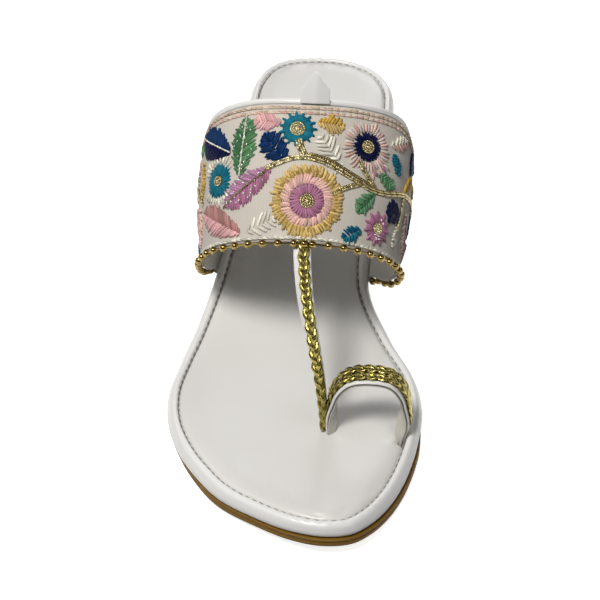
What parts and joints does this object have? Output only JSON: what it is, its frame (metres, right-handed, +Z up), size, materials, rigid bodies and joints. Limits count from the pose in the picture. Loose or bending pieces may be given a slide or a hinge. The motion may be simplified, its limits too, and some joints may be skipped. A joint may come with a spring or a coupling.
{
  "type": "block-heel toe-loop sandal",
  "caption": "Open slip-on sandal with a white padded sole on a mid block heel, a wide embroidered instep band with a bead edge, a braided toe strap and a big-toe loop; right foot.",
  "frame": {"origin": "on the floor, under the middle of the shoe's bounding box", "axes": "+X towards the big-toe side, -Y towards the toe, +Z up"},
  "size_m": [0.1013, 0.2478, 0.1215],
  "materials": {
    "white_leatherette": "smooth white coated leather with a soft gloss",
    "tan_sole": "satin tan sheet",
    "embroidered_band": "off-white cloth with coloured thread embroidery, leather lined",
    "gold_braid": "metallic gold braid",
    "gold_bead": "polished gold beads"
  },
  "bodies": {
    "root": {"outsole": "tan_sole", "heel_block": "white_leatherette", "heel_tip": "tan_sole", "edge_binding": "white_leatherette", "insole": "white_leatherette", "upper": "embroidered_band", "rear_piping": "white_leatherette", "pull_tab": "white_leatherette", "strap_braid": "gold_braid", "loop_braid": "gold_braid", "bead_trim": "gold_bead"}
  },
  "joints": []
}
